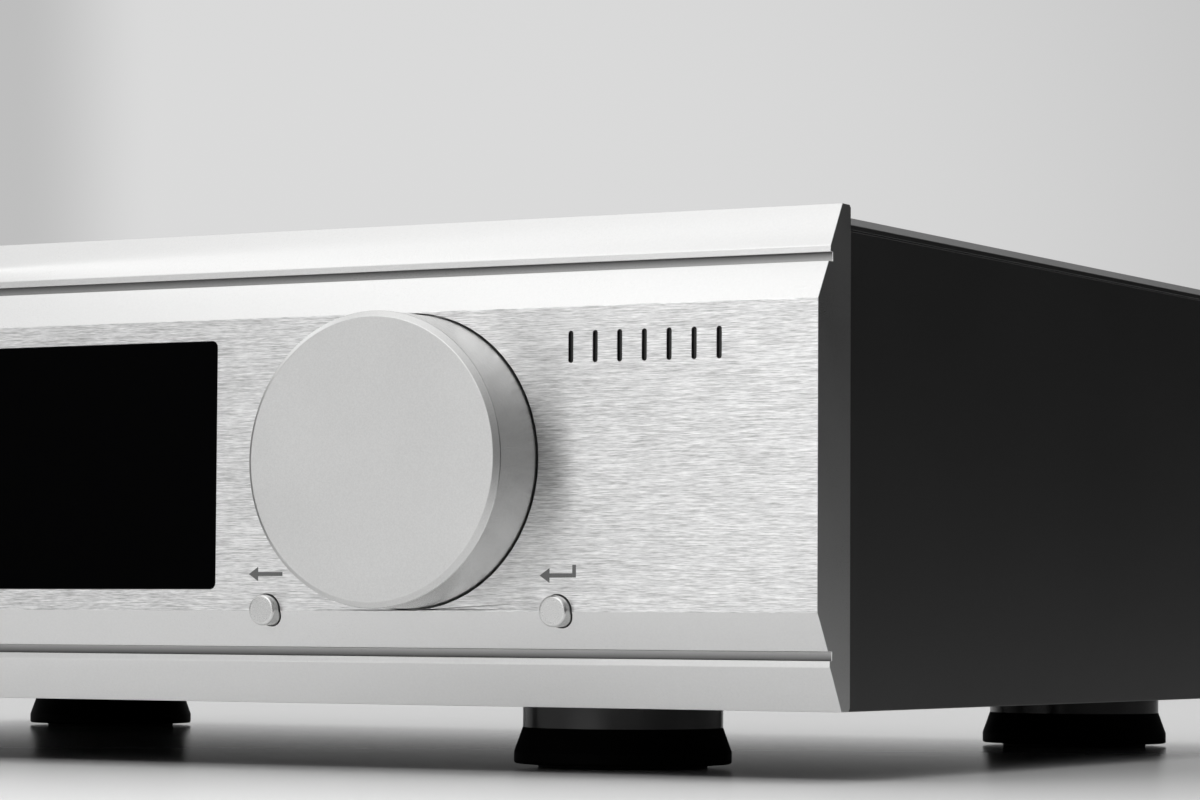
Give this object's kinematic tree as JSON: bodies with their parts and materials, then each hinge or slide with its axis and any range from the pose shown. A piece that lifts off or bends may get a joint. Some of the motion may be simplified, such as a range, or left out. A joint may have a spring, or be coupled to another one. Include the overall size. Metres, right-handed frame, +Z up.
{
  "type": "phono preamp",
  "caption": "Full-width phono preamp with a thick bevelled aluminium front, black display, large selector knob, two push buttons, black case and turned feet.",
  "frame": {"origin": "on the surface it stands on, at the centre of its overall length and width", "axes": "+X to the right as seen from the front, +Y to the rear, +Z up"},
  "size_m": [0.44, 0.3658, 0.1142],
  "materials": {
    "panel_aluminium": "anodised, brushed along its flat band, satin on its bevels",
    "knob_aluminium": "bead-blasted and anodised",
    "post_aluminium": "bare extruded",
    "black_case": "matt black anodised",
    "black_steel": "black powder coat",
    "foot_black": "gloss black, turned",
    "pad_rubber": "matt",
    "display_glass": "black, polished",
    "dark_metal": "satin",
    "black_metal": "satin black",
    "nickel": "nickel plated",
    "black_screw": "blackened",
    "zinc_steel": "zinc plated sheet",
    "brass": "turned",
    "gold_plate": "gold plated",
    "board_green": "glass fibre board with green mask",
    "winding": "taped winding",
    "sink_black": "black anodised extrusion",
    "black_plastic": "moulded",
    "rocker_plastic": "moulded, polished",
    "white_plastic": "moulded",
    "red_plastic": "dipped film capacitor",
    "ring_plastic": "moulded insulating ring",
    "blue_sleeve": "shrink sleeve",
    "grey_ribbon": "flat cable",
    "fuse_glass": "glass tube with metal caps"
  },
  "bodies": {
    "chassis": {"front_panel": "panel_aluminium", "display_window": "display_glass", "display_module": "dark_metal", "control_board": "board_green", "encoder_body": "dark_metal", "encoder_nut": "nickel", "push_switches": "black_plastic", "side_panel_left": "black_case", "side_panel_right": "black_case", "top_cover": "black_case", "bottom_plate": "black_steel", "rear_panel": "black_case", "corner_posts": "post_aluminium", "cover_screws": "black_screw", "rear_screws": "black_screw", "bottom_screws": "nickel", "inner_screws": "nickel", "foot_front_left": "foot_black", "foot_front_right": "foot_black", "foot_rear_left": "foot_black", "foot_rear_right": "foot_black", "foot_pads": "pad_rubber", "power_transformer": "winding", "transformer_rings": "pad_rubber", "transformer_clamp": "nickel", "shield_wall": "zinc_steel", "power_board": "board_green", "reservoir_capacitors": "blue_sleeve", "rectifiers_regulators": "black_plastic", "heat_sink": "sink_black", "phono_boards": "board_green", "board_standoffs": "nickel", "input_relays": "white_plastic", "film_capacitors": "red_plastic", "amplifier_chips": "black_plastic", "signal_capacitors": "blue_sleeve", "ribbon_cables": "grey_ribbon", "rca_inputs": "gold_plate", "rca_outputs": "gold_plate", "rca_rings": "ring_plastic", "rca_centres": "white_plastic", "balanced_outputs": "black_metal", "balanced_pins": "gold_plate", "ground_stud": "gold_plate", "mains_inlet": "black_plastic", "inlet_blades": "nickel", "mains_switch": "black_plastic"},
    "knob": {"selector_knob": "knob_aluminium", "knob_insert": "brass", "encoder_shaft": "nickel"},
    "back_button": {"back_button": "knob_aluminium", "back_plunger": "white_plastic"},
    "enter_button": {"enter_button": "knob_aluminium", "enter_plunger": "white_plastic"},
    "fuse_drawer": {"fuse_drawer": "black_plastic", "fuse": "fuse_glass"},
    "mains_rocker": {"mains_rocker": "rocker_plastic"},
    "ground_washer": {"ground_washer": "nickel"},
    "ground_nut": {"ground_nut": "gold_plate"}
  },
  "joints": [
    {"name": "knob_turn", "type": "hinge", "parent": "chassis", "child": "knob", "pos_m": [0.1268, -0.16765, 0.0642], "axis": [0, 1, 0], "continuous": true},
    {"name": "back_press", "type": "slide", "parent": "chassis", "child": "back_button", "axis": [0, 1, 0], "range_m": [0, 0.001], "stiffness_N_per_m": 1200},
    {"name": "enter_press", "type": "slide", "parent": "chassis", "child": "enter_button", "axis": [0, 1, 0], "range_m": [0, 0.001], "stiffness_N_per_m": 1200},
    {"name": "mains_rock", "type": "hinge", "parent": "chassis", "child": "mains_rocker", "pos_m": [-0.138, 0.16585, 0.0642], "axis": [1, 0, 0], "range_deg": [0, 24]},
    {"name": "drawer_slide", "type": "slide", "parent": "chassis", "child": "fuse_drawer", "axis": [0, 1, 0], "range_m": [0, 0.012]},
    {"name": "nut_travel", "type": "slide", "parent": "chassis", "child": "ground_washer", "axis": [0, 1, 0], "range_m": [0, 0.00175]},
    {"name": "nut_turn", "type": "hinge", "parent": "ground_washer", "child": "ground_nut", "pos_m": [0.14, 0.17485, 0.0642], "axis": [0, 1, 0], "range_deg": [0, 900]}
  ],
  "couplings": [
    {"joint": "nut_travel", "follows": "nut_turn", "m_per_rad": 0.000111}
  ]
}
